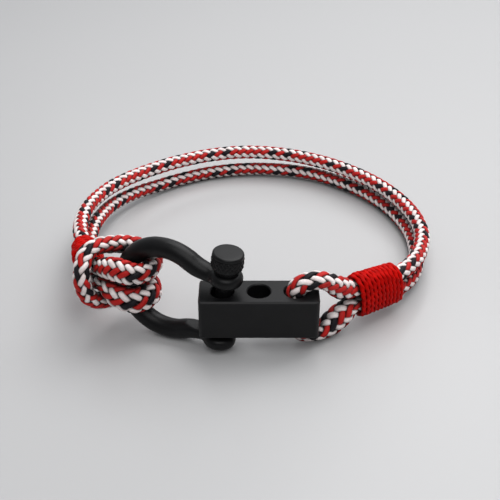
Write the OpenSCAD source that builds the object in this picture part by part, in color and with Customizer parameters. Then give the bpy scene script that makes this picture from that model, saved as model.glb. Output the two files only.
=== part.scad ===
// Nautical bracelet lying flat: a bow shackle with a screw pin, a three-hole adjuster bar and
// one braided rope that makes a double band, a cow hitch on the shackle and a loop on the bar.
// Millimetres. Z is up and 0 is the table top. The bar lies along X at the front (-Y).

/* [Adjuster bar] */
// Length of the bar along X
bar_length = 22.6; // [18:0.1:30]
// Width of the bar from front to back
bar_width = 7.4; // [5.5:0.1:9]
// Height of the bar
bar_height = 8.5; // [7:0.1:11]
// Diameter of the three upright holes
hole_d = 4.4; // [4.1:0.1:5]
// Distance between neighbouring holes
hole_pitch = 6.9; // [6:0.1:8.5]
// Radius of the upright edges
bar_corner = 0.9; // [0.3:0.1:1.5]
// Chamfer of the top and bottom edges
bar_chamfer = 0.3; // [0.1:0.05:0.6]

/* [Shackle] */
// Radius of the round wire
wire_r = 2.0; // [1.5:0.1:2.5]
// Radius of the bow, to the middle of the wire
bow_r = 9.1; // [8:0.1:11]
// Distance from the pin to the centre of the bow
bow_reach = 11.8; // [11:0.1:15]
// Radius of the reverse bend next to each ear
neck_r = 14.0; // [10:0.5:18]
// Height of the wire's middle above and below the shackle's own middle at the ears
leg_v = 6.4; // [6:0.05:7]
// Distance from the shackle's middle to the inner face of an ear
ear_inner = 5.8; // [5.1:0.05:6]
// Thickness of an ear
ear_thick = 2.6; // [2.4:0.1:3.6]
// Radius of an ear
ear_r = 3.3; // [3:0.1:4.2]
// Angle of the shackle to the bar, seen from above
shackle_yaw = 23.5; // [0:0.5:40]
// Tilt of the shackle about the Y axis, the bow end is the high one
shackle_tilt = 6.0; // [0:0.5:6]

/* [Pin] */
// Diameter of the pin's shaft
pin_d = 3.3; // [2.8:0.1:3.6]
// Clearance all round the shaft in the ears
pin_fit = 0.1; // [0.05:0.05:0.2]
// Diameter of the head
head_d = 6.2; // [5:0.1:7]
// Height of the head
head_h = 3.35; // [3:0.05:5]
// Diameter of the plain neck below the head
collar_d = 4.8; // [4:0.1:5.5]
// Height of that neck
collar_h = 0.9; // [0.3:0.1:1.5]

/* [Rope] */
// Diameter of the rope in the band
rope_d = 3.5; // [3.2:0.1:3.6]
// Distance of the two strands inside a whipping
strand_pitch = 3.6; // [3.6:0.05:3.8]
// How much further apart they are at the bar's end of the right whipping
bar_end_spread = 0.9; // [0.7:0.05:1.1]
// Thickness of the whipping thread
thread_d = 1.0; // [0.8:0.05:1.3]
// Clearance between a whipping and the strands
whipping_fit = 0.12; // [0.05:0.01:0.2]
// Turns of thread in the right whipping
turns_right = 11; // [8:1:14]
// Turns of thread in the left whipping
turns_left = 7; // [5:1:12]

/* [Hidden] */
$fn = 48;

// The routes are drawn with the bar level. The whole bracelet is then turned about Y until the bow,
// the loop and the back of the band touch the table, and moved to centre its bounding box.
lie_turn = 3.6;
place = [-0.311, -4.637, 0.406];

bar_mid = [1.6, -29.25, 8.25];
pin_lift = 0.3;
// The bow and the reverse bends end this far from where they meet, inside a ball that is this much thicker
joint_gap = 0.25;
joint_swell = 0.06;
pin_mid = bar_mid + [-hole_pitch, 0, pin_lift];

metal = [0.14, 0.14, 0.15];
red = [0.78, 0.08, 0.06];
rope_colour = [0.85, 0.35, 0.32];

// Facets round the rope and rings for each step of a route
rope_sides = 14;
hitch_steps = 3;
band_steps = 3;
loop_steps = 3;

// Route of the band, from the left whipping round the back to the right whipping.
// Columns: angle round the ring, radius and height of the upper strand, radius and height of the lower one.
ring_centre = [0, 1.9];
band_rows = [
    [200.3, 36.42, 8.94, 35.20, 5.56],
    [197.6, 36.18, 8.77, 34.96, 5.38],
    [194.9, 36.00, 8.60, 34.79, 5.20],
    [186.0, 36.70, 8.15, 35.40, 4.60],
    [178.0, 37.25, 7.70, 35.60, 4.15],
    [170.0, 37.80, 7.25, 36.20, 3.55],
    [162.0, 38.25, 6.80, 36.90, 2.85],
    [153.0, 38.55, 6.40, 37.90, 2.05],
    [145.0, 38.60, 6.10, 38.60, 1.40],
    [136.0, 38.50, 5.85, 38.90, 0.80],
    [127.0, 38.60, 5.60, 39.00, 0.30],
    [117.0, 38.85, 5.50, 39.00, 0.30],
    [105.0, 39.00, 5.65, 38.80, 0.75],
    [ 92.0, 38.60, 6.05, 38.20, 1.35],
    [ 78.0, 37.60, 6.40, 37.50, 2.00],
    [ 64.0, 36.60, 6.70, 36.90, 2.55],
    [ 50.0, 35.85, 7.00, 36.10, 2.95],
    [ 36.0, 35.65, 7.30, 35.80, 3.30],
    [ 22.0, 35.95, 7.50, 35.80, 3.50],
    [  8.0, 36.60, 7.70, 36.00, 3.75],
    [ -5.0, 37.10, 7.95, 36.20, 4.10],
    [-17.0, 37.00, 8.35, 36.50, 4.60],
    [-26.0, 36.70, 8.75, 36.60, 5.05],
    [-34.0, 35.98, 9.05, 35.98, 5.40],
    [-38.0, 35.15, 9.25, 35.15, 5.50],
    [-42.4, 34.26, 9.48, 34.26, 5.55]];

// Route of the hitch in the shackle's own frame. Columns: distance outward from the crown of the bow,
// distance toward the front, height, width, thickness, lean of the width.
hitch_rows = [
    [12.60, -5.1, -2.60, 3.5, 3.5,   0],
    [10.90, -2.5, -2.10, 3.5, 3.5,   0],
    [ 8.80,  0.0, -0.70, 3.5, 3.5,   0],
    [ 6.10,  1.9,  1.05, 3.4, 3.4,   0],
    [ 3.20,  3.4,  2.40, 4.2, 3.6,   5],
    [-0.30,  4.2,  3.55, 5.6, 4.1,  18],
    [-3.80,  3.4,  3.35, 5.5, 4.1,  28],
    [-5.15,  0.0,  3.20, 5.3, 4.0,  37],
    [-3.80, -3.4,  3.35, 5.2, 4.1,  30],
    [-0.50, -4.4,  3.80, 4.9, 4.0,  25],
    [ 2.50, -3.4,  4.25, 4.3, 3.9,  25],
    [ 4.40, -1.0,  4.90, 3.9, 3.8,  35],
    [ 5.95,  1.7,  5.25, 3.7, 3.6,  45],
    [ 6.65,  4.3,  4.45, 3.7, 3.6,  60],
    [ 6.20,  6.1,  2.40, 3.7, 3.7,  80],
    [ 5.90,  6.7,  0.40, 3.7, 3.7,  90],
    [ 5.60,  6.4, -1.60, 3.7, 3.7, 100],
    [ 5.20,  5.6, -3.65, 3.7, 3.7, 115],
    [ 4.30,  4.0, -5.45, 3.8, 3.7, 130],
    [ 3.20,  1.6, -6.35, 3.9, 3.8, 145],
    [ 2.10, -1.2, -6.45, 3.9, 3.9, 150],
    [ 0.80, -3.6, -5.75, 4.3, 4.0, 150],
    [-1.40, -4.4, -4.10, 4.9, 4.0, 152],
    [-4.00, -3.4, -3.10, 5.2, 4.1, 150],
    [-5.30,  0.0, -2.70, 5.3, 4.1, 143],
    [-3.90,  3.4, -2.70, 5.5, 4.1, 152],
    [-0.30,  4.1, -2.45, 5.6, 4.1, 162],
    [ 3.00,  3.1, -1.75, 4.0, 3.4, 175],
    [ 5.60,  1.6, -2.70, 3.6, 3.4, 180],
    [ 7.80, -0.3, -4.35, 3.5, 3.5, 180],
    [ 9.45, -3.1, -5.42, 3.5, 3.5, 180],
    [11.20, -5.7, -5.83, 3.5, 3.5, 180]];

// Route of the loop through the end hole of the bar. Columns: x, y, z, width, thickness.
loop_rows = [
    [24.90, -21.47,  9.58, 3.5, 3.5],
    [22.35, -23.15,  9.85, 3.5, 3.5],
    [19.80, -24.80,  9.95, 3.6, 3.8],
    [17.30, -26.35, 11.10, 4.2, 4.8],
    [15.20, -27.52, 13.10, 4.3, 4.0],
    [13.10, -28.48, 14.45, 4.3, 3.7],
    [11.25, -29.00, 14.60, 4.3, 3.7],
    [9.60, -29.22, 14.15, 4.2, 3.8],
    [8.70, -29.25, 12.95, 4.1, 4.0],
    [8.50, -29.25, 11.50, 4.1, 4.1],
    [8.50, -29.25,  8.20, 4.1, 4.1],
    [8.50, -29.25,  5.20, 4.1, 4.1],
    [8.70, -29.25,  3.85, 4.2, 3.8],
    [9.50, -29.23,  2.75, 4.4, 3.2],
    [10.95, -29.05,  2.40, 4.6, 2.9],
    [12.50, -28.70,  2.35, 4.6, 2.9],
    [13.80, -28.20,  2.55, 4.6, 3.6],
    [14.95, -27.68,  3.00, 4.6, 4.9],
    [16.60, -26.75,  4.00, 4.6, 5.6],
    [18.30, -25.75,  5.10, 4.5, 5.3],
    [19.80, -24.80,  5.85, 3.6, 3.9],
    [22.35, -23.15,  5.62, 3.5, 3.5],
    [24.90, -21.47,  5.55, 3.5, 3.5]];

// Ends of the straight axes of the two whippings, the lean of one and the slant of the other's turns
left_rear = [-34.2, -7.2, 6.9];
left_front = [-32.9, -14.2, 7.6];
left_lean = 20;
right_front = [19.9, -24.75, 7.95];
right_rear = [29.4, -18.5, 7.22];
right_slant = 9;

module lay_down() { translate(place) rotate([0, lie_turn, 0]) children(); }

function unit(a) = a / norm(a);
function curve(a, b, c, d, t) =
    0.5 * (2 * b + (c - a) * t + (2 * a - 5 * b + 4 * c - d) * t * t + (3 * b - a - 3 * c + d) * t * t * t);
function smooth(rows, steps) = [
    for (i = [0 : len(rows) - 2])
        let (b = rows[i], c = rows[i + 1],
             a = i == 0 ? 2 * b - c : rows[i - 1],
             d = i + 2 >= len(rows) ? 2 * c - b : rows[i + 2])
        for (k = [0 : steps - 1]) curve(a, b, c, d, k / steps),
    rows[len(rows) - 1]];
function place_shackle(p) =
    let (x = -p[0] * cos(shackle_yaw) - p[1] * sin(shackle_yaw),
         y = p[0] * sin(shackle_yaw) - p[1] * cos(shackle_yaw), z = p[2],
         c = cos(shackle_tilt), s = sin(shackle_tilt))
    pin_mid + [x * c + z * s, y, z * c - x * s];
function turn_shackle(p) = place_shackle(p) - pin_mid;

// Stations of a tube: [point, width direction, width, thickness]
function band_stations(radius_column) = [
    for (r = smooth(band_rows, band_steps))
        [[ring_centre[0] + r[radius_column] * cos(r[0]), ring_centre[1] + r[radius_column] * sin(r[0]),
          r[radius_column + 1]], [0, 0, 1], rope_d, rope_d]];
function hitch_stations() = [
    for (r = smooth(hitch_rows, hitch_steps))
        [place_shackle([bow_reach + bow_r + r[0], r[1], r[2]]), turn_shackle([-sin(r[5]), 0, cos(r[5])]),
         r[3], r[4]]];
// The loop keeps to the plane that holds the bar's hole and the whipping, so its side is its width direction.
function loop_stations() = [
    for (r = smooth(loop_rows, loop_steps)) [[r[0], r[1], r[2]], [-0.4, 1, 0], r[3], r[4]]];

function station_heading(st, i) =
    unit(st[min(i + 1, len(st) - 1)][0] - st[max(i - 1, 0)][0]);
function ring_points(s, heading, sides) =
    let (w = unit(s[1] - (s[1] * heading) * heading), m = cross(heading, w))
    [for (k = [0 : sides - 1])
        let (a = 360 * (k + 0.5) / sides) s[0] + w * (s[2] / 2 * cos(a)) + m * (s[3] / 2 * sin(a))];

module tube(st, sides = rope_sides) {
    count = len(st);
    points = [for (i = [0 : count - 1]) each ring_points(st[i], station_heading(st, i), sides)];
    walls = [
        for (i = [0 : count - 2], k = [0 : sides - 1])
            let (a = i * sides + k, b = i * sides + (k + 1) % sides, c = b + sides, d = a + sides)
            each [[a, d, c], [a, c, b]]];
    first = [for (k = [0 : sides - 1]) k];
    last = [for (k = [sides - 1 : -1 : 0]) (count - 1) * sides + k];
    polyhedron(points = points, faces = concat(walls, [first, last]), convexity = 10);
}

// One stadium-shaped ring round two stacked strands
function stadium(p, w, m, r, pitch, half_sides) = [
    for (k = [0 : 2 * half_sides - 1])
        let (upper = k < half_sides, j = upper ? k : k - half_sides,
             a = -90 + 180 * j / (half_sides - 1) + (upper ? 0 : 180))
        p + w * ((upper ? 1 : -1) * pitch / 2 + r * cos(a)) + m * (r * sin(a))];

// Sleeve from a to b. spread is how much further the strands are apart at a.
module whipping(a, b, turns, lean = 0, slant = 0, spread = 0) {
    half = 9;
    sides = 2 * half;
    per_turn = 4;
    count = turns * per_turn + 1;
    heading = unit(b - a);
    up = [-sin(lean), 0, cos(lean)];
    upright = unit(up - (up * heading) * heading);
    w = upright - tan(slant) * heading;
    m = cross(heading, upright);
    inner_r = rope_d / 2 + whipping_fit;
    mid_r = inner_r + thread_d * 0.86;
    rib = thread_d * 0.14;
    outer = [for (i = [0 : count - 1])
        let (end_turn = min(i, count - 1 - i) / per_turn)
        each stadium(a + (b - a) * i / (count - 1), w, m,
                     mid_r - rib * cos(360 * i / per_turn) - 0.3 * max(0, 1 - end_turn),
                     strand_pitch + spread * (1 - i / (count - 1)), half)];
    inner = concat(stadium(a, w, m, inner_r, strand_pitch + spread, half),
                   stadium(b, w, m, inner_r, strand_pitch, half));
    n = count * sides;
    skin = [
        for (i = [0 : count - 2], k = [0 : sides - 1])
            let (p = i * sides + k, q = i * sides + (k + 1) % sides)
            each [[p, p + sides, q + sides], [p, q + sides, q]]];
    rims = [
        for (k = [0 : sides - 1])
            let (p = k, q = (k + 1) % sides, e = n - sides, f = n + sides)
            each [[p, q, n + q], [p, n + q, n + p],
                  [e + q, e + p, f + p], [e + q, f + p, f + q],
                  [n + p, f + q, f + p], [n + p, n + q, f + q]]];
    polyhedron(points = concat(outer, inner), faces = concat(skin, rims), convexity = 10);
}

module in_shackle_frame() {
    translate(pin_mid) rotate([0, shackle_tilt, 0]) rotate([0, 0, 180 - shackle_yaw]) children();
}

// Bend of wire in the plane of the shackle: centre [u, v], radius, start and end angle
module wire_bend(centre, radius, from, to) {
    translate([centre[0], 0, centre[1]]) rotate([90, 0, 0]) rotate([0, 0, from])
        rotate_extrude(angle = to - from, $fn = 96) translate([radius, 0]) circle(r = wire_r, $fn = 48);
}

module ear(side) {
    edge = 1.1;
    translate([0, 0, side > 0 ? ear_inner : -ear_inner - ear_thick]) {
        cylinder(r = ear_r - edge, h = ear_thick);
        translate([0, 0, edge]) cylinder(r = ear_r, h = ear_thick - 2 * edge);
        for (z = [edge, ear_thick - edge])
            translate([0, 0, z]) rotate_extrude() translate([ear_r - edge, 0]) circle(r = edge, $fn = 32);
    }
}

// Upper half of the wire between the bow and the ear: a forged joint, the reverse bend, the leg
module shackle_side(meet, neck_u) {
    translate([bow_reach + bow_r * cos(meet), 0, bow_r * sin(meet)]) sphere(r = wire_r + joint_swell);
    wire_bend([neck_u, leg_v + neck_r], neck_r, -90, meet - 180 - joint_gap / neck_r * 180 / PI);
    translate([0, 0, leg_v]) rotate([0, 90, 0]) cylinder(r = wire_r, h = neck_u);
}

module shackle() {
    rise = leg_v + neck_r;
    run = sqrt(pow(bow_r + neck_r, 2) - rise * rise);
    neck_u = bow_reach - run;
    meet = 180 - atan2(rise, run);
    bow_end = meet - joint_gap / bow_r * 180 / PI;
    flat_half = 6;
    flat_end = 7;
    bore_half = 12;
    lay_down() color(metal) in_shackle_frame() difference() {
        union() {
            wire_bend([bow_reach, 0], bow_r, -bow_end, bow_end);
            for (side = [0, 1]) mirror([0, 0, side]) shackle_side(meet, neck_u);
            ear(1);
            ear(-1);
        }
        // Flat faces between the ears, where the bar stands
        translate([-flat_half, -flat_half, -ear_inner])
            cube([flat_half + flat_end, 2 * flat_half, 2 * ear_inner]);
        // Flat seats outside the ears
        for (side = [0, 1]) mirror([0, 0, side])
            translate([0, 0, ear_inner + ear_thick]) cylinder(r = ear_r, h = 4);
        // Bore of both ears
        translate([0, 0, -bore_half]) cylinder(r = pin_d / 2 + pin_fit, h = 2 * bore_half);
    }
}

module shackle_pin() {
    seat = ear_inner + ear_thick + 0.06;
    tip = ear_inner + ear_thick - 0.4;
    bevel = 0.5;
    lay_down() color(metal) in_shackle_frame() {
        translate([0, 0, -tip + 0.4]) cylinder(d = pin_d, h = tip - 0.4 + seat + 0.2);
        translate([0, 0, -tip]) cylinder(d1 = pin_d - 0.8, d2 = pin_d, h = 0.4);
        translate([0, 0, seat]) cylinder(d = collar_d, h = collar_h + 0.1);
        translate([0, 0, seat + collar_h]) {
            cylinder(d1 = head_d - 2 * bevel, d2 = head_d, h = bevel);
            translate([0, 0, bevel]) cylinder(d = head_d, h = head_h - 2 * bevel);
            translate([0, 0, head_h - bevel]) cylinder(d1 = head_d, d2 = head_d - 2 * bevel, h = bevel);
        }
    }
}

module chamfered(width, height, cut) {
    polygon([[-width / 2 + cut, -height / 2], [width / 2 - cut, -height / 2],
             [width / 2, -height / 2 + cut], [width / 2, height / 2 - cut],
             [width / 2 - cut, height / 2], [-width / 2 + cut, height / 2],
             [-width / 2, height / 2 - cut], [-width / 2, -height / 2 + cut]]);
}

module adjuster_bar() {
    edge_x = bar_length / 2 - bar_corner;
    edge_y = bar_width / 2 - bar_corner;
    lay_down() color(metal) translate(bar_mid) difference() {
        intersection() {
            union() {
                for (x = [-1, 1], y = [-1, 1])
                    translate([x * edge_x, y * edge_y, -bar_height / 2])
                        cylinder(r = bar_corner, h = bar_height);
                translate([-edge_x, -bar_width / 2, -bar_height / 2])
                    cube([2 * edge_x, bar_width, bar_height]);
                translate([-bar_length / 2, -edge_y, -bar_height / 2])
                    cube([bar_length, 2 * edge_y, bar_height]);
            }
            rotate([90, 0, 90]) translate([0, 0, -bar_length])
                linear_extrude(2 * bar_length) chamfered(bar_width, bar_height, bar_chamfer);
            rotate([90, 0, 0]) translate([0, 0, -bar_width])
                linear_extrude(2 * bar_width) chamfered(bar_length, bar_height, bar_chamfer);
        }
        for (i = [-1 : 1]) translate([i * hole_pitch, 0, 0]) {
            translate([0, 0, -bar_height]) cylinder(d = hole_d, h = 2 * bar_height);
            for (side = [0, 1]) mirror([0, 0, side])
                translate([0, 0, bar_height / 2 - 0.2]) cylinder(d1 = hole_d, d2 = hole_d + 0.8, h = 0.4);
        }
    }
}

module band_upper() { lay_down() color(rope_colour) tube(band_stations(1)); }

module band_lower() { lay_down() color(rope_colour) tube(band_stations(3)); }

module hitch() { lay_down() color(rope_colour) tube(hitch_stations()); }

module bar_loop() { lay_down() color(rope_colour) tube(loop_stations()); }

module whipping_left() { lay_down() color(red) whipping(left_rear, left_front, turns_left, left_lean); }

module whipping_right() {
    lay_down() color(red)
        whipping(right_front, right_rear, turns_right, slant = right_slant, spread = bar_end_spread);
}

shackle();
shackle_pin();
adjuster_bar();
band_upper();
band_lower();
hitch();
bar_loop();
whipping_left();
whipping_right();
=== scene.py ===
# The looks of the nautical bracelet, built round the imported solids. All routes repeat those of the
# part's source, in millimetres with the bar level, and lay_down() turns them as the source does.
import math

import bpy
import numpy as np
from mathutils import Matrix, Vector


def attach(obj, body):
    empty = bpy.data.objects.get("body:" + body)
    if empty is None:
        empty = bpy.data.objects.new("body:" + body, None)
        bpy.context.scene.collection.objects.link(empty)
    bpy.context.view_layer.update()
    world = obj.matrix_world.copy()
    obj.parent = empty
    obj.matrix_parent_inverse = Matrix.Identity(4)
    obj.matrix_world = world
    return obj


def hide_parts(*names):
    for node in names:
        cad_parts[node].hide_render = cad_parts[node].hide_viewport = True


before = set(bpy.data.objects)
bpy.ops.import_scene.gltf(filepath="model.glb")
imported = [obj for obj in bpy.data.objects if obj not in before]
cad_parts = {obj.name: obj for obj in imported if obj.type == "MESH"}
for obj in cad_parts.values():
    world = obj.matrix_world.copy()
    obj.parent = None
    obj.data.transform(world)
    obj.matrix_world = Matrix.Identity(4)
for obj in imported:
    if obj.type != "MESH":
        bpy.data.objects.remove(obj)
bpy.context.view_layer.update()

MM = 0.001
LIE_TURN = math.radians(3.6)
PLACE = np.array([-0.311, -4.637, 0.406])
SHACKLE_YAW = math.radians(23.5)
SHACKLE_TILT = math.radians(6.0)
BAR_MID = np.array([1.6, -29.25, 8.25])
HOLE_PITCH = 6.9
PIN_LIFT = 0.3
PIN_MID = BAR_MID + np.array([-HOLE_PITCH, 0.0, PIN_LIFT])
BOW_REACH = 11.8
BOW_R = 9.1
CROWN = BOW_REACH + BOW_R
RING_CENTRE = (0.0, 1.9)
ROPE_D = 3.5
WHIPPING_FIT = 0.12

# Angle round the ring, radius and height of the upper strand, radius and height of the lower one
BAND_ROWS = [
    (200.3, 36.42, 8.94, 35.20, 5.56), (197.6, 36.18, 8.77, 34.96, 5.38),
    (194.9, 36.00, 8.60, 34.79, 5.20), (186.0, 36.70, 8.15, 35.40, 4.60),
    (178.0, 37.25, 7.70, 35.60, 4.15), (170.0, 37.80, 7.25, 36.20, 3.55),
    (162.0, 38.25, 6.80, 36.90, 2.85), (153.0, 38.55, 6.40, 37.90, 2.05),
    (145.0, 38.60, 6.10, 38.60, 1.40), (136.0, 38.50, 5.85, 38.90, 0.80),
    (127.0, 38.60, 5.60, 39.00, 0.30), (117.0, 38.85, 5.50, 39.00, 0.30),
    (105.0, 39.00, 5.65, 38.80, 0.75), (92.0, 38.60, 6.05, 38.20, 1.35),
    (78.0, 37.60, 6.40, 37.50, 2.00), (64.0, 36.60, 6.70, 36.90, 2.55),
    (50.0, 35.85, 7.00, 36.10, 2.95), (36.0, 35.65, 7.30, 35.80, 3.30),
    (22.0, 35.95, 7.50, 35.80, 3.50), (8.0, 36.60, 7.70, 36.00, 3.75),
    (-5.0, 37.10, 7.95, 36.20, 4.10), (-17.0, 37.00, 8.35, 36.50, 4.60),
    (-26.0, 36.70, 8.75, 36.60, 5.05), (-34.0, 35.98, 9.05, 35.98, 5.40),
    (-38.0, 35.15, 9.25, 35.15, 5.50), (-42.4, 34.26, 9.48, 34.26, 5.55)]

# Distance outward from the crown of the bow, distance toward the front, height, width, thickness, lean
HITCH_ROWS = [
    (12.6, -5.1, -2.60, 3.5, 3.5, 0), (10.9, -2.5, -2.10, 3.5, 3.5, 0),
    (8.8, 0.0, -0.70, 3.5, 3.5, 0), (6.1, 1.9, 1.05, 3.4, 3.4, 0),
    (3.2, 3.4, 2.40, 4.2, 3.6, 5), (-0.3, 4.2, 3.55, 5.6, 4.1, 18),
    (-3.8, 3.4, 3.35, 5.5, 4.1, 28), (-5.15, 0.0, 3.20, 5.3, 4.0, 37),
    (-3.8, -3.4, 3.35, 5.2, 4.1, 30), (-0.5, -4.4, 3.80, 4.9, 4.0, 25),
    (2.5, -3.4, 4.25, 4.3, 3.9, 25), (4.4, -1.0, 4.90, 3.9, 3.8, 35),
    (5.95, 1.7, 5.25, 3.7, 3.6, 45), (6.65, 4.3, 4.45, 3.7, 3.6, 60),
    (6.2, 6.1, 2.40, 3.7, 3.7, 80), (5.9, 6.7, 0.40, 3.7, 3.7, 90),
    (5.6, 6.4, -1.60, 3.7, 3.7, 100), (5.2, 5.6, -3.65, 3.7, 3.7, 115),
    (4.3, 4.0, -5.45, 3.8, 3.7, 130), (3.2, 1.6, -6.35, 3.9, 3.8, 145),
    (2.1, -1.2, -6.45, 3.9, 3.9, 150), (0.8, -3.6, -5.75, 4.3, 4.0, 150),
    (-1.4, -4.4, -4.10, 4.9, 4.0, 152), (-4.0, -3.4, -3.10, 5.2, 4.1, 150),
    (-5.3, 0.0, -2.70, 5.3, 4.1, 143), (-3.9, 3.4, -2.70, 5.5, 4.1, 152),
    (-0.3, 4.1, -2.45, 5.6, 4.1, 162), (3.0, 3.1, -1.75, 4.0, 3.4, 175),
    (5.6, 1.6, -2.70, 3.6, 3.4, 180), (7.8, -0.3, -4.35, 3.5, 3.5, 180),
    (9.45, -3.1, -5.42, 3.5, 3.5, 180), (11.2, -5.7, -5.83, 3.5, 3.5, 180)]

# x, y, z, width, thickness
LOOP_ROWS = [
    (24.90, -21.47, 9.58, 3.5, 3.5), (22.35, -23.15, 9.85, 3.5, 3.5), (19.80, -24.80, 9.95, 3.6, 3.8),
    (17.30, -26.35, 11.10, 4.2, 4.8), (15.20, -27.52, 13.10, 4.3, 4.0), (13.10, -28.48, 14.45, 4.3, 3.7),
    (11.25, -29.00, 14.60, 4.3, 3.7), (9.60, -29.22, 14.15, 4.2, 3.8), (8.70, -29.25, 12.95, 4.1, 4.0),
    (8.50, -29.25, 11.50, 4.1, 4.1), (8.50, -29.25, 8.20, 4.1, 4.1), (8.50, -29.25, 5.20, 4.1, 4.1),
    (8.70, -29.25, 3.85, 4.2, 3.8), (9.50, -29.23, 2.75, 4.4, 3.2), (10.95, -29.05, 2.40, 4.6, 2.9),
    (12.50, -28.70, 2.35, 4.6, 2.9), (13.80, -28.20, 2.55, 4.6, 3.6), (14.95, -27.68, 3.00, 4.6, 4.9),
    (16.60, -26.75, 4.00, 4.6, 5.6), (18.30, -25.75, 5.10, 4.5, 5.3), (19.80, -24.80, 5.85, 3.6, 3.9),
    (22.35, -23.15, 5.62, 3.5, 3.5), (24.90, -21.47, 5.55, 3.5, 3.5)]

# Ends of the axis, turns, lean, slant of the turns, distance of the strands at both ends
LEFT_WHIPPING = ((-34.2, -7.2, 6.9), (-32.9, -14.2, 7.6), 7, 20.0, 0.0, 3.6, 3.6)
RIGHT_WHIPPING = ((19.9, -24.75, 7.95), (29.4, -18.5, 7.22), 11, 0.0, 9.0, 4.5, 3.6)


def unit(a):
    return a / np.linalg.norm(a, axis=-1, keepdims=True)


def lay_down(p):
    c, s = math.cos(LIE_TURN), math.sin(LIE_TURN)
    x, y, z = p[..., 0], p[..., 1], p[..., 2]
    return np.stack([x * c + z * s, y, z * c - x * s], -1)


def turn_shackle(p):
    p = np.asarray(p, float)
    cy, sy = math.cos(SHACKLE_YAW), math.sin(SHACKLE_YAW)
    ct, st = math.cos(SHACKLE_TILT), math.sin(SHACKLE_TILT)
    x = -p[..., 0] * cy - p[..., 1] * sy
    y = p[..., 0] * sy - p[..., 1] * cy
    z = p[..., 2]
    return np.stack([x * ct + z * st, y, z * ct - x * st], -1)


def smooth(rows, step):
    """A Catmull-Rom curve through rows, resampled at an even step along its first three columns."""
    rows = np.asarray(rows, float)
    padded = np.vstack([2 * rows[0] - rows[1], rows, 2 * rows[-1] - rows[-2]])
    fine = []
    per_span = 24
    for i in range(1, len(padded) - 2):
        a, b, c, d = padded[i - 1:i + 3]
        t = np.arange(per_span)[:, None] / per_span
        fine.append(0.5 * (2 * b + (c - a) * t + (2 * a - 5 * b + 4 * c - d) * t ** 2
                           + (3 * b - a - 3 * c + d) * t ** 3))
    fine.append(rows[-1:])
    fine = np.vstack(fine)
    run = np.concatenate([[0], np.cumsum(np.linalg.norm(np.diff(fine[:, :3], axis=0), axis=1))])
    count = max(2, int(round(run[-1] / step)) + 1)
    even = np.linspace(0, run[-1], count)
    return np.stack([np.interp(even, run, fine[:, k]) for k in range(fine.shape[1])], 1), even


class Route:
    """A rope's middle line with its width direction, width and thickness at each station, in millimetres."""

    def __init__(self, middle, across, width, thickness, run):
        self.middle = middle
        heading = unit(np.gradient(middle, axis=0))
        self.w = unit(across - (across * heading).sum(1, keepdims=True) * heading)
        self.n = np.cross(heading, self.w)
        self.width = width
        self.thickness = thickness
        self.run = run


STEP = 0.25


def band_route(radius_column):
    rows = [(RING_CENTRE[0] + r[radius_column] * math.cos(math.radians(r[0])),
             RING_CENTRE[1] + r[radius_column] * math.sin(math.radians(r[0])),
             r[radius_column + 1]) for r in BAND_ROWS]
    p, run = smooth(rows, STEP)
    size = np.full(len(p), ROPE_D)
    up = np.tile([0.0, 0.0, 1.0], (len(p), 1))
    return Route(lay_down(p) + PLACE, lay_down(up), size, size, run)


def hitch_route():
    rows, run = smooth(HITCH_ROWS, STEP)
    local = rows[:, :3] + [CROWN, 0, 0]
    lean = np.radians(rows[:, 5])
    across = np.stack([-np.sin(lean), 0 * lean, np.cos(lean)], 1)
    middle = turn_shackle(local) + PIN_MID
    return Route(lay_down(middle) + PLACE, lay_down(turn_shackle(across)), rows[:, 3], rows[:, 4], run)


def loop_route():
    rows, run = smooth(LOOP_ROWS, STEP)
    side = np.tile([-0.4, 1.0, 0.0], (len(rows), 1))
    return Route(lay_down(rows[:, :3]) + PLACE, lay_down(side), rows[:, 3], rows[:, 4], run)


def new_object(name, verts, faces, slots, face_slots=None, uvs=None):
    mesh = bpy.data.meshes.new(name)
    mesh.from_pydata(verts.tolist(), [], faces.tolist())
    for m in slots:
        mesh.materials.append(m)
    if face_slots is not None:
        mesh.polygons.foreach_set("material_index", np.asarray(face_slots, np.int32))
    if uvs is not None:
        layer = mesh.uv_layers.new(name="UVMap")
        loops = np.zeros(len(mesh.loops), np.int32)
        mesh.loops.foreach_get("vertex_index", loops)
        layer.data.foreach_set("uv", uvs[loops].astype(np.float32).ravel())
    mesh.polygons.foreach_set("use_smooth", np.ones(len(mesh.polygons), bool))
    mesh.update()
    mesh.validate()
    piece = bpy.data.objects.new(name, mesh)
    bpy.context.scene.collection.objects.link(piece)
    return piece


def sweep_faces(stations, sides, start):
    """Quads of a sweep with a closed section and open ends."""
    i = np.arange(stations - 1)[:, None] * sides
    k = np.arange(sides)[None, :]
    a = i + k
    b = i + (k + 1) % sides
    return np.stack([a, b, b + sides, a + sides], -1).reshape(-1, 4) + start


def lump(seed, count, scale):
    """Smooth noise along a line, for the small unevenness of hand work."""
    rng = np.random.default_rng(seed)
    per_knot = 12
    knots = rng.normal(0, scale, count // per_knot + 4)
    x = np.linspace(0, len(knots) - 1, count)
    return np.interp(x, np.arange(len(knots)), knots)


YARNS = 8          # each way round the rope
YARN_SIDES = 8
YARN_THICK = 0.62
YARN_RISE = 0.36
YARN_FILL = 1.1    # a yarn's width as a share of the room between its neighbours
TRACERS = ((1e9, (5, 7)),)   # up to which place along the rope, and which of the red yarns are black
RED_SHARE = 0.15   # how much wider the columns of red stitches are than the white ones
COLUMN_START = math.radians(11.25)   # a quarter of the angle between two columns
UNDER = -0.6       # a yarn below this is hidden under others, +1 is on top and -1 is below


def along(run, value):
    """One value, or (places, values) along a rope."""
    return np.interp(run, *value) if isinstance(value, tuple) else np.full(len(run), float(value))


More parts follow.
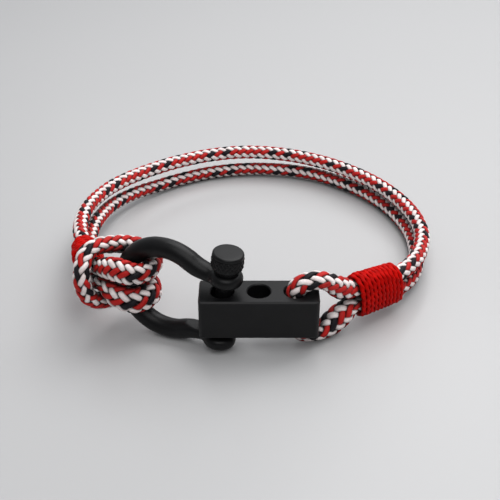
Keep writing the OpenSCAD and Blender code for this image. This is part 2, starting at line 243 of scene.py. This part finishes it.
def yarn_slots(way, index, run, over, tracers):
    """The material slot of a yarn at each station. Its colour only changes where it passes under others."""
    slot = np.zeros(len(run), int)
    if way > 0:
        return slot
    begin = 0
    for end, black in tracers:
        slot[begin:] = 2 if index in black else 1
        after = np.nonzero((run > end) & (over < UNDER))[0]
        if len(after) == 0:
            break
        begin = after[0]
    return slot


def braid(name, route, pitch, red_angle, start, seed, tracers=TRACERS):
    """Sixteen yarns braided two over two round a route: eight white ones one way, eight red and black ones
    the other, so that columns of white and of red stitches alternate. pitch is a stitch's length along the
    rope, red_angle the place of a red column from the width direction, in degrees."""
    count = len(route.run)
    pitch = along(route.run, pitch)
    turn = np.cumsum(2 * math.pi / (YARNS * pitch) * np.gradient(route.run)) + math.radians(start)
    red = np.radians(along(route.run, red_angle))
    white = red + math.pi / 4
    verts, faces, slots, uvs = [], [], [], []
    section = np.arange(YARN_SIDES) * 2 * math.pi / YARN_SIDES
    # The crest of a yarn is a little flat
    flat_crest = 0.12
    crest = 1 - flat_crest * (np.abs(np.sin(section) - 1) < 1e-6)
    for way in (1, -1):
        for j in range(YARNS):
            theta = red + way * turn + 2 * math.pi * j / YARNS + COLUMN_START
            over = way * (np.cos(4 * (theta - white)) - RED_SHARE)
            over = np.tanh(1.5 * over)
            wobble = lump(seed * 100 + j * 2 + way, count, 0.02)
            inset = YARN_THICK / 2 + YARN_RISE * (1 - over) + np.abs(wobble)
            scale = (route.width + route.thickness) / 2 / ROPE_D
            a = route.width / 2 - inset * scale
            b = route.thickness / 2 - inset * scale
            c, s = np.cos(theta)[:, None], np.sin(theta)[:, None]
            path = route.middle + route.w * (a[:, None] * c) + route.n * (b[:, None] * s)
            out = unit(route.w * c / a[:, None] + route.n * s / b[:, None])
            ahead = unit(np.gradient(path, axis=0))
            out = unit(out - (out * ahead).sum(1, keepdims=True) * ahead)
            side = np.cross(ahead, out)
            girth = (a + b) / 2
            slope = 2 * math.pi * girth / (YARNS * pitch)
            wide = YARN_FILL * math.pi * girth / YARNS / np.sqrt(1 + slope ** 2) * (0.95 + 0.05 * over)
            thick = YARN_THICK / 2 * scale
            ring = (path[:, None]
                    + side[:, None] * (wide[:, None] * np.cos(section))[..., None]
                    + out[:, None] * (thick[:, None] * crest * np.sin(section))[..., None])
            first = sum(len(v) for v in verts)
            verts.append(ring.reshape(-1, 3))
            faces.append(sweep_faces(count, YARN_SIDES, first))
            slots.append(np.repeat(yarn_slots(way, j, route.run, over, tracers)[:-1], YARN_SIDES))
            u = np.repeat(route.run[:, None], YARN_SIDES, 1)
            v = np.repeat(((section / (2 * math.pi) + 0.25) % 1.0)[None], count, 0) + j
            uvs.append(np.stack([u, v], -1).reshape(-1, 2))
    core_sides = 12
    angle = np.arange(core_sides) * 2 * math.pi / core_sides
    inner = YARN_THICK + YARN_RISE
    ring = (route.middle[:, None]
            + route.w[:, None] * ((route.width / 2 - inner)[:, None] * np.cos(angle))[..., None]
            + route.n[:, None] * ((route.thickness / 2 - inner)[:, None] * np.sin(angle))[..., None])
    first = sum(len(v) for v in verts)
    verts.append(ring.reshape(-1, 3))
    body = sweep_faces(count, core_sides, first)
    faces.append(body)
    slots.append(np.full(len(body), 3))
    uvs.append(np.zeros((count * core_sides, 2)))
    piece = new_object(name, np.vstack(verts) * MM, np.vstack(faces),
                       [WHITE_YARN, RED_YARN, BLACK_YARN, CORE], np.concatenate(slots), np.vstack(uvs))
    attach(piece, "bracelet")
    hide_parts(name.replace("_rope", ""))
    return piece


SIDE_SWELL = 0.25  # how far a whipping's flat sides swell
THREAD_D = 0.9


def whipping(name, node, rear, front, turns, lean, slant, rear_pitch, front_pitch):
    """One long twisted thread wound side by side round the two stacked strands."""
    rear, front = np.array(rear), np.array(front)
    heading = unit(front - rear)
    up = np.array([-math.sin(math.radians(lean)), 0, math.cos(math.radians(lean))])
    w = unit(up - up @ heading * heading)
    m = np.cross(heading, w)
    per_turn = 96
    t = np.arange(int(turns * per_turn) + 1) / per_turn
    length = np.linalg.norm(front - rear)
    radius = ROPE_D / 2 + WHIPPING_FIT + THREAD_D / 2
    flat = rear_pitch + (front_pitch - rear_pitch) * t / turns
    perimeter = 2 * math.pi * radius + 2 * flat
    q = (t % 1.0) * perimeter
    half = np.full(len(t), math.pi * radius)
    # Round the stadium: upper half circle, down one side, lower half circle, up the other
    x, y = np.zeros_like(q), np.zeros_like(q)
    nx, ny = np.zeros_like(q), np.zeros_like(q)
    arcs = [(0 * half, half), (half, half + flat), (half + flat, 2 * half + flat),
            (2 * half + flat, perimeter)]
    for index, (lo, hi) in enumerate(arcs):
        k = (q >= lo) & (q < hi + 1e-9)
        d = (q - lo)[k]
        if index in (0, 2):
            sign = 1 if index == 0 else -1
            a = math.pi / 2 - d / radius
            nx[k], ny[k] = sign * np.cos(a), -sign * np.sin(a)
            x[k], y[k] = sign * flat[k] / 2 + radius * nx[k], radius * ny[k]
        else:
            sign = 1 if index == 1 else -1
            nx[k], ny[k] = 0, sign
            x[k] = sign * (flat[k] / 2 - d)
            y[k] = sign * (radius + SIDE_SWELL * (1 - (2 * x[k] / flat[k]) ** 2))
    shift = THREAD_D / 2 + (length - THREAD_D) * t / turns
    # The first and the last turn tuck in
    end = np.clip(np.minimum(t, turns - t), 0, 1)
    tuck = 0.28 * THREAD_D * (1 - end)
    x, y = x - nx * tuck, y - ny * tuck
    shift = shift - math.tan(math.radians(slant)) * x
    path = rear + heading * shift[:, None] + w * x[:, None] + m * y[:, None]
    out = w * nx[:, None] + m * ny[:, None]
    ahead = unit(np.gradient(path, axis=0))
    out = unit(out - (out * ahead).sum(1, keepdims=True) * ahead)
    side = np.cross(ahead, out)
    run = np.concatenate([[0], np.cumsum(np.linalg.norm(np.diff(path, axis=0), axis=1))])
    # The thread is two strands laid together, and lies a little flat
    sides = 12
    lay_length = 3.4 * THREAD_D
    lobe = 0.17
    widest = 1.12
    flatness = 1.16
    section = np.arange(sides) * 2 * math.pi / sides
    twist = run[:, None] * 2 * math.pi / lay_length
    lobes = 1 + lobe * np.cos(2 * (section[None] - twist))
    lumps = 1 + lump(77 + turns, len(t), 0.018)[:, None]
    r = THREAD_D / 2 * lobes * lumps / widest
    ring = (path[:, None] + side[:, None] * (r * np.cos(section) * flatness)[..., None]
            + out[:, None] * (r * np.sin(section))[..., None])
    round_thread = (section / (2 * math.pi) + 0.25) % 1.0
    uv = np.stack([np.repeat(run[:, None], sides, 1), np.repeat(round_thread[None], len(t), 0)], -1)
    verts = lay_down(ring.reshape(-1, 3)) + PLACE
    piece = new_object(name, verts * MM, sweep_faces(len(t), sides, 0), [THREAD], None, uv.reshape(-1, 2))
    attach(piece, "bracelet")
    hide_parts(node)
    return piece


def pin_point(r, angle, height):
    """A point of the pin, from its own axis, in frame metres."""
    local = np.stack([r * np.cos(angle), r * np.sin(angle), height], -1)
    return (lay_down(turn_shackle(local) + PIN_MID) + PLACE) * MM


def shackle_pin():
    """Shaft, neck and knurled head, lathed round the pin's axis with the knurl pressed in as real relief."""
    shaft_r = 1.65
    bevel = 0.4
    tip = -8.0
    seat = 8.46
    neck_r = 2.4
    head_low = 9.36
    head_top = 12.71
    head_r = 3.1
    corner = 0.62
    cap_r = 2.97
    cap_corner = 0.4
    cap_low = head_top - 0.85
    groove_r = cap_r - 0.15
    # Radius, height and share of the knurl
    profile = [(0.0, tip, 0), (shaft_r - bevel, tip, 0), (shaft_r, tip + bevel, 0)]
    profile += [(shaft_r, z, 0) for z in np.linspace(tip + 2 * bevel, seat - 0.3, 24)]
    profile += [(shaft_r, seat, 0), (neck_r - 0.15, seat, 0), (neck_r, seat + 0.12, 0),
                (neck_r, head_low - 0.1, 0)]
    for a in np.radians(np.linspace(-90, 0, 7)):
        profile.append((head_r - corner + corner * math.cos(a), head_low + corner + corner * math.sin(a),
                        min(1.0, (math.sin(a) + 1.0) * 1.3)))
    profile += [(head_r, z, 1.0) for z in np.linspace(head_low + corner + 0.1, cap_low - 0.16, 26)]
    profile += [(head_r - 0.04, cap_low - 0.08, 0.4), (groove_r, cap_low, 0), (groove_r, cap_low + 0.08, 0),
                (cap_r - 0.03, cap_low + 0.18, 0), (cap_r, cap_low + 0.26, 0), (cap_r, head_top - 0.42, 0)]
    for a in np.radians(np.linspace(8, 90, 6)):
        profile.append((cap_r - cap_corner + cap_corner * math.cos(a),
                        head_top - cap_corner + cap_corner * math.sin(a), 0))
    profile += [(1.6, head_top, 0), (0.8, head_top, 0), (0.0, head_top, 0)]
    around = 200
    angle = np.arange(around) * 2 * math.pi / around
    diamonds = 20
    relief = 0.2
    steepness = 0.85
    rings = []
    for r, z, knurl in profile:
        lead = z / (2 * math.pi * head_r / diamonds) * steepness
        u, v = (angle * diamonds / (2 * math.pi) + k * lead for k in (1, -1))
        tri_u, tri_v = (1 - np.abs(2 * (x % 1.0) - 1) for x in (u, v))
        cut = relief * (1 - np.minimum(1.0, 1.5 * np.minimum(tri_u, tri_v)))
        radius = np.maximum(r - knurl * cut, 1e-4)
        rings.append(pin_point(radius, angle, np.full(around, z)))
    verts = np.vstack(rings)
    piece = new_object("knurled_pin", verts, sweep_faces(len(profile), around, 0), [METAL])
    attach(piece, "pin")
    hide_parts("shackle_pin")
    return piece


def applied(piece):
    """The piece with its modifiers worked into its own mesh."""
    graph = bpy.context.evaluated_depsgraph_get()
    mesh = bpy.data.meshes.new_from_object(piece.evaluated_get(graph))
    piece.modifiers.clear()
    piece.data = mesh


def forged_shackle():
    """The CAD shackle in a finer skin, its joints and the roots of its ears worked smooth as in a forging."""
    piece = bpy.data.objects.new("forged_shackle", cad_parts["shackle"].data.copy())
    bpy.context.scene.collection.objects.link(piece)
    skin = piece.modifiers.new("fine skin", "REMESH")
    skin.mode = "VOXEL"
    skin.voxel_size = 0.15 * MM
    applied(piece)
    origin = pin_point(0.0, 0.0, 0.0)
    basis = np.stack([lay_down(turn_shackle(e)) for e in np.eye(3)])
    points = np.zeros(3 * len(piece.data.vertices))
    piece.data.vertices.foreach_get("co", points)
    local = (points.reshape(-1, 3) - origin) @ basis.T / MM
    # Fully worked between these distances from the pin's axis, not at all at the bore or on the bow
    bore_end, root_start, root_end, bow_start = 2.3, 3.0, 13.5, 15.5
    from_pin = np.hypot(local[:, 0], local[:, 1])
    share = np.interp(from_pin, [bore_end, root_start, root_end, bow_start], [0, 1, 1, 0])
    # Less on the ears' outer side
    share *= np.interp(local[:, 0], [0.0, root_start], [0.35, 1.0])
    share = np.round(share, 1)
    worked = piece.vertex_groups.new(name="worked")
    for level in np.unique(share):
        worked.add(np.flatnonzero(share == level).tolist(), float(level), "REPLACE")
    relax = piece.modifiers.new("worked smooth", "SMOOTH")
    relax.vertex_group = "worked"
    relax.factor = 0.5
    relax.iterations = 90
    applied(piece)
    piece.data.polygons.foreach_set("use_smooth", np.ones(len(piece.data.polygons), bool))
    piece.data.materials.clear()
    piece.data.materials.append(METAL)
    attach(piece, "bracelet")
    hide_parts("shackle")
    return piece


def material(name):
    m = bpy.data.materials.new(name)
    m.use_nodes = True
    tree = m.node_tree
    return m, tree, tree.nodes["Principled BSDF"]


def node(tree, kind, **values):
    n = tree.nodes.new(kind)
    for key, value in values.items():
        if key in n.inputs:
            n.inputs[key].default_value = value
        else:
            setattr(n, key, value)
    return n


def ramp(tree, fac, stops):
    r = node(tree, "ShaderNodeValToRGB")
    while len(r.color_ramp.elements) < len(stops):
        r.color_ramp.elements.new(0.5)
    for element, (place, colour) in zip(r.color_ramp.elements, stops):
        element.position = place
        element.color = (*colour, 1)
    tree.links.new(fac, r.inputs["Fac"])
    return r.outputs["Color"]


def yarn(name, dark, light, fuzz, roughness=0.62, fibre=0.12, flank=0.35, gloss=0.3, shut=0.08):
    """Spun fibre: fine streaks along the yarn with slight differences of tone from stitch to stitch, and
    painted shade.
    flank is the share of colour left by the painted shade on a yarn's sides, shut the share left in a closed
    hollow."""
    m, tree, bsdf = material(name)
    uv = node(tree, "ShaderNodeUVMap")
    stretch = node(tree, "ShaderNodeMapping")
    stretch.inputs["Scale"].default_value = (1.6, 30.0, 1.0)
    tree.links.new(uv.outputs["UV"], stretch.inputs["Vector"])
    # Painted shade: a yarn's flanks, where it meets its neighbours, are painted darker than its crest
    split = node(tree, "ShaderNodeSeparateXYZ")
    tree.links.new(uv.outputs["UV"], split.inputs["Vector"])
    round_yarn = node(tree, "ShaderNodeMath", operation="MULTIPLY")
    tree.links.new(split.outputs["Y"], round_yarn.inputs[0])
    round_yarn.inputs[1].default_value = 2 * math.pi
    depth = node(tree, "ShaderNodeMath", operation="COSINE")
    tree.links.new(round_yarn.outputs[0], depth.inputs[0])
    painted_flank_shade = node(tree, "ShaderNodeMapRange")
    painted_flank_shade.inputs["From Min"].default_value = 0.25
    painted_flank_shade.inputs["From Max"].default_value = -0.85
    painted_flank_shade.inputs["To Min"].default_value = flank
    tree.links.new(depth.outputs[0], painted_flank_shade.inputs["Value"])
    fibres = node(tree, "ShaderNodeTexNoise", Scale=1.0, Detail=3.0, Roughness=0.6)
    tree.links.new(stretch.outputs["Vector"], fibres.inputs["Vector"])
    place = node(tree, "ShaderNodeTexCoord")
    patches = node(tree, "ShaderNodeTexNoise", Scale=520.0, Detail=2.0)
    tree.links.new(place.outputs["Object"], patches.inputs["Vector"])
    both = node(tree, "ShaderNodeMath", operation="MULTIPLY_ADD")
    tree.links.new(fibres.outputs["Fac"], both.inputs[0])
    both.inputs[1].default_value = 0.6
    tree.links.new(patches.outputs["Fac"], both.inputs[2])
    colour = ramp(tree, both.outputs[0], [(0.45, dark), (0.95, light)])
    # Painted shade: the colour is darkened by ambient occlusion in the hollows of the knot, where little
    # light comes back out
    painted_hollow_shade = node(tree, "ShaderNodeAmbientOcclusion", Distance=0.006, samples=6)
    open_share = node(tree, "ShaderNodeMapRange")
    open_share.inputs["From Min"].default_value = 0.18
    open_share.inputs["From Max"].default_value = 0.72
    open_share.inputs["To Min"].default_value = shut
    tree.links.new(painted_hollow_shade.outputs["AO"], open_share.inputs["Value"])
    both_shades = node(tree, "ShaderNodeMath", operation="MULTIPLY")
    tree.links.new(painted_flank_shade.outputs["Result"], both_shades.inputs[0])
    tree.links.new(open_share.outputs["Result"], both_shades.inputs[1])
    shaded = node(tree, "ShaderNodeVectorMath", operation="SCALE")
    tree.links.new(colour, shaded.inputs[0])
    tree.links.new(both_shades.outputs[0], shaded.inputs["Scale"])
    tree.links.new(shaded.outputs["Vector"], bsdf.inputs["Base Color"])
    bump = node(tree, "ShaderNodeBump", Strength=fibre, Distance=0.0002)
    tree.links.new(fibres.outputs["Fac"], bump.inputs["Height"])
    tree.links.new(bump.outputs["Normal"], bsdf.inputs["Normal"])
    bsdf.inputs["Roughness"].default_value = roughness
    bsdf.inputs["Specular IOR Level"].default_value = gloss
    bsdf.inputs["Sheen Weight"].default_value = fuzz
    bsdf.inputs["Sheen Roughness"].default_value = 0.4
    return m


def black_coating():
    """Matte black coating over steel: fine orange peel, with slightly uneven gloss and tone."""
    m, tree, bsdf = material("black coating")
    place = node(tree, "ShaderNodeTexCoord")
    grain = node(tree, "ShaderNodeTexNoise", Scale=4200.0, Detail=3.0)
    cloud = node(tree, "ShaderNodeTexNoise", Scale=260.0, Detail=4.0, Roughness=0.6)
    for n in (grain, cloud):
        tree.links.new(place.outputs["Object"], n.inputs["Vector"])
    dark, light = (0.0040, 0.0040, 0.0044), (0.0070, 0.0070, 0.0076)
    colour = ramp(tree, cloud.outputs["Fac"], [(0.3, dark), (0.75, light)])
    tree.links.new(colour, bsdf.inputs["Base Color"])
    rough = node(tree, "ShaderNodeMapRange")
    rough.inputs["To Min"].default_value = 0.3
    rough.inputs["To Max"].default_value = 0.44
    tree.links.new(cloud.outputs["Fac"], rough.inputs["Value"])
    tree.links.new(rough.outputs["Result"], bsdf.inputs["Roughness"])
    bump = node(tree, "ShaderNodeBump", Strength=0.12, Distance=0.00005)
    tree.links.new(grain.outputs["Fac"], bump.inputs["Height"])
    tree.links.new(bump.outputs["Normal"], bsdf.inputs["Normal"])
    bsdf.inputs["Specular IOR Level"].default_value = 0.19
    return m


WHITE_YARN = yarn("white yarn", (0.70, 0.57, 0.56), (0.98, 0.90, 0.88), fuzz=0.1)
RED_YARN = yarn("red yarn", (0.33, 0.003, 0.003), (0.54, 0.009, 0.006), fuzz=0.03)
BLACK_YARN = yarn("black yarn", (0.003, 0.002, 0.004), (0.011, 0.009, 0.013), fuzz=0.02, gloss=0.2)
CORE = yarn("core", (0.05, 0.004, 0.004), (0.09, 0.01, 0.01), fuzz=0.0)
THREAD = yarn("red thread", (0.33, 0.001, 0.0005), (0.60, 0.003, 0.001), roughness=0.5, fuzz=0.0, fibre=0.5,
              flank=0.8, gloss=0.06, shut=0.45)
METAL = black_coating()

# Stitch lengths and places of a red column, as (places, values) along each rope
PITCH = 2.05
UPPER_ANGLES = ((0, 8, 20, 31, 40), (102, 100, 75, 64, 57))
LOWER_ANGLES = ((0, 40, 62, 72, 80, 92, 105), (0, 0, -7, -5, 10, 28, 39))
HITCH_PITCH = ((0, 13, 15, 25.7, 28.2, 66, 68, 79, 82), (2.1, 2.1, 1.5, 1.5, 2.1, 2.1, 1.8, 1.8, 2.1))
HITCH_ANGLES = ((0, 13, 20, 22, 24, 26, 28, 31, 34, 38, 42, 44, 45, 46, 48, 50, 52, 54, 56, 58, 60, 66,
                 70, 72, 74, 76, 78, 80, 84, 86, 88),
                (88, 85, 74, 56, 36, 13, -2, 0, 5, 17, 17, 29, 50, 72, 98, 101, 94, 80, 22, -32, -51, -62,
                 -75, -82, -90, -107, -106, -101, -95, -96, -103))
HITCH_TRACERS = ((30, (1, 3)), (68, (5, 7)), (1e9, (1, 3)))
LOOP_ANGLES = ((0, 7, 10, 13, 18, 21, 33), (22, 22, 12, -3, 2, -3, -23))

braid("band_upper_rope", band_route(1), PITCH, UPPER_ANGLES, start=280.0, seed=1)
braid("band_lower_rope", band_route(3), PITCH, LOWER_ANGLES, start=181.0, seed=2)
braid("hitch_rope", hitch_route(), HITCH_PITCH, HITCH_ANGLES, start=-101.8, seed=3, tracers=HITCH_TRACERS)
braid("bar_loop_rope", loop_route(), PITCH, LOOP_ANGLES, start=36.5, seed=4)
whipping("whipping_left_thread", "whipping_left", *LEFT_WHIPPING)
whipping("whipping_right_thread", "whipping_right", *RIGHT_WHIPPING)
shackle_pin()
forged_shackle()
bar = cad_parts["adjuster_bar"]
bar.data.materials.clear()
bar.data.materials.append(METAL)


def make_camera():
    data = bpy.data.cameras.new("camera")
    data.sensor_width = 36.0
    data.lens = 64.8
    data.clip_start = 0.01
    data.clip_end = 10.0
    camera = bpy.data.objects.new("camera", data)
    bpy.context.scene.collection.objects.link(camera)
    # The photograph's camera, found from the bar's edges and the ring of the band
    eye = (lay_down(np.array([-0.07, -166.03, 110.96])) + PLACE) * MM
    ahead = unit(lay_down(np.array([0.0, 0.83734, -0.54669])))
    right = lay_down(np.array([1.0, 0.0, 0.0]))
    up = np.cross(right, ahead)
    rotation = np.stack([right, up, -ahead], 1)
    camera.matrix_world = Matrix.Translation(eye.tolist()) @ Matrix(rotation.tolist()).to_4x4()
    bpy.context.scene.camera = camera


def make_floor():
    mesh = bpy.data.meshes.new("floor")
    half = 1.5
    corners = [(-half, -half, 0), (half, -half, 0), (half, half, 0), (-half, half, 0)]
    mesh.from_pydata(corners, [], [(0, 1, 2, 3)])
    m, tree, bsdf = material("floor")
    bsdf.inputs["Base Color"].default_value = (0.502, 0.502, 0.504, 1)
    bsdf.inputs["Roughness"].default_value = 0.25
    bsdf.inputs["Specular IOR Level"].default_value = 0.22
    mesh.materials.append(m)
    floor = bpy.data.objects.new("floor", mesh)
    bpy.context.scene.collection.objects.link(floor)


def area_light(name, place, target, size, watts):
    data = bpy.data.lights.new(name, "AREA")
    data.shape = "RECTANGLE"
    data.size, data.size_y = size
    data.energy = watts
    lamp = bpy.data.objects.new(name, data)
    lamp.location = place
    lamp.rotation_euler = (Vector(target) - Vector(place)).to_track_quat("-Z", "Y").to_euler()
    bpy.context.scene.collection.objects.link(lamp)


def make_light():
    world = bpy.data.worlds.new("studio")
    world.use_nodes = True
    background = world.node_tree.nodes["Background"]
    background.inputs["Color"].default_value = (0.95, 0.96, 1.0, 1)
    # The room is darker in front of the table than behind it
    tree = world.node_tree
    direction = node(tree, "ShaderNodeTexCoord")
    split = node(tree, "ShaderNodeSeparateXYZ")
    tree.links.new(direction.outputs["Generated"], split.inputs["Vector"])
    strength = node(tree, "ShaderNodeMapRange")
    strength.inputs["From Min"].default_value = -1.0
    strength.inputs["From Max"].default_value = 0.6
    strength.inputs["To Min"].default_value = 0.13
    strength.inputs["To Max"].default_value = 0.54
    tree.links.new(split.outputs["Y"], strength.inputs["Value"])
    tree.links.new(strength.outputs["Result"], background.inputs["Strength"])
    bpy.context.scene.world = world
    area_light("key", (0.13, 0.13, 0.36), (0, 0, 0), (0.34, 0.34), 1.4)
    area_light("fill", (0.08, -0.30, 0.42), (0, 0, 0), (0.4, 0.4), 1.15)
    # Seen in the level faces of the black metal
    area_light("back", (0.03, 0.50, 0.33), (0.02, 0, 0), (0.44, 0.2), 0.23)
    bpy.context.scene.view_settings.view_transform = "Standard"


make_camera()
make_floor()
make_light()
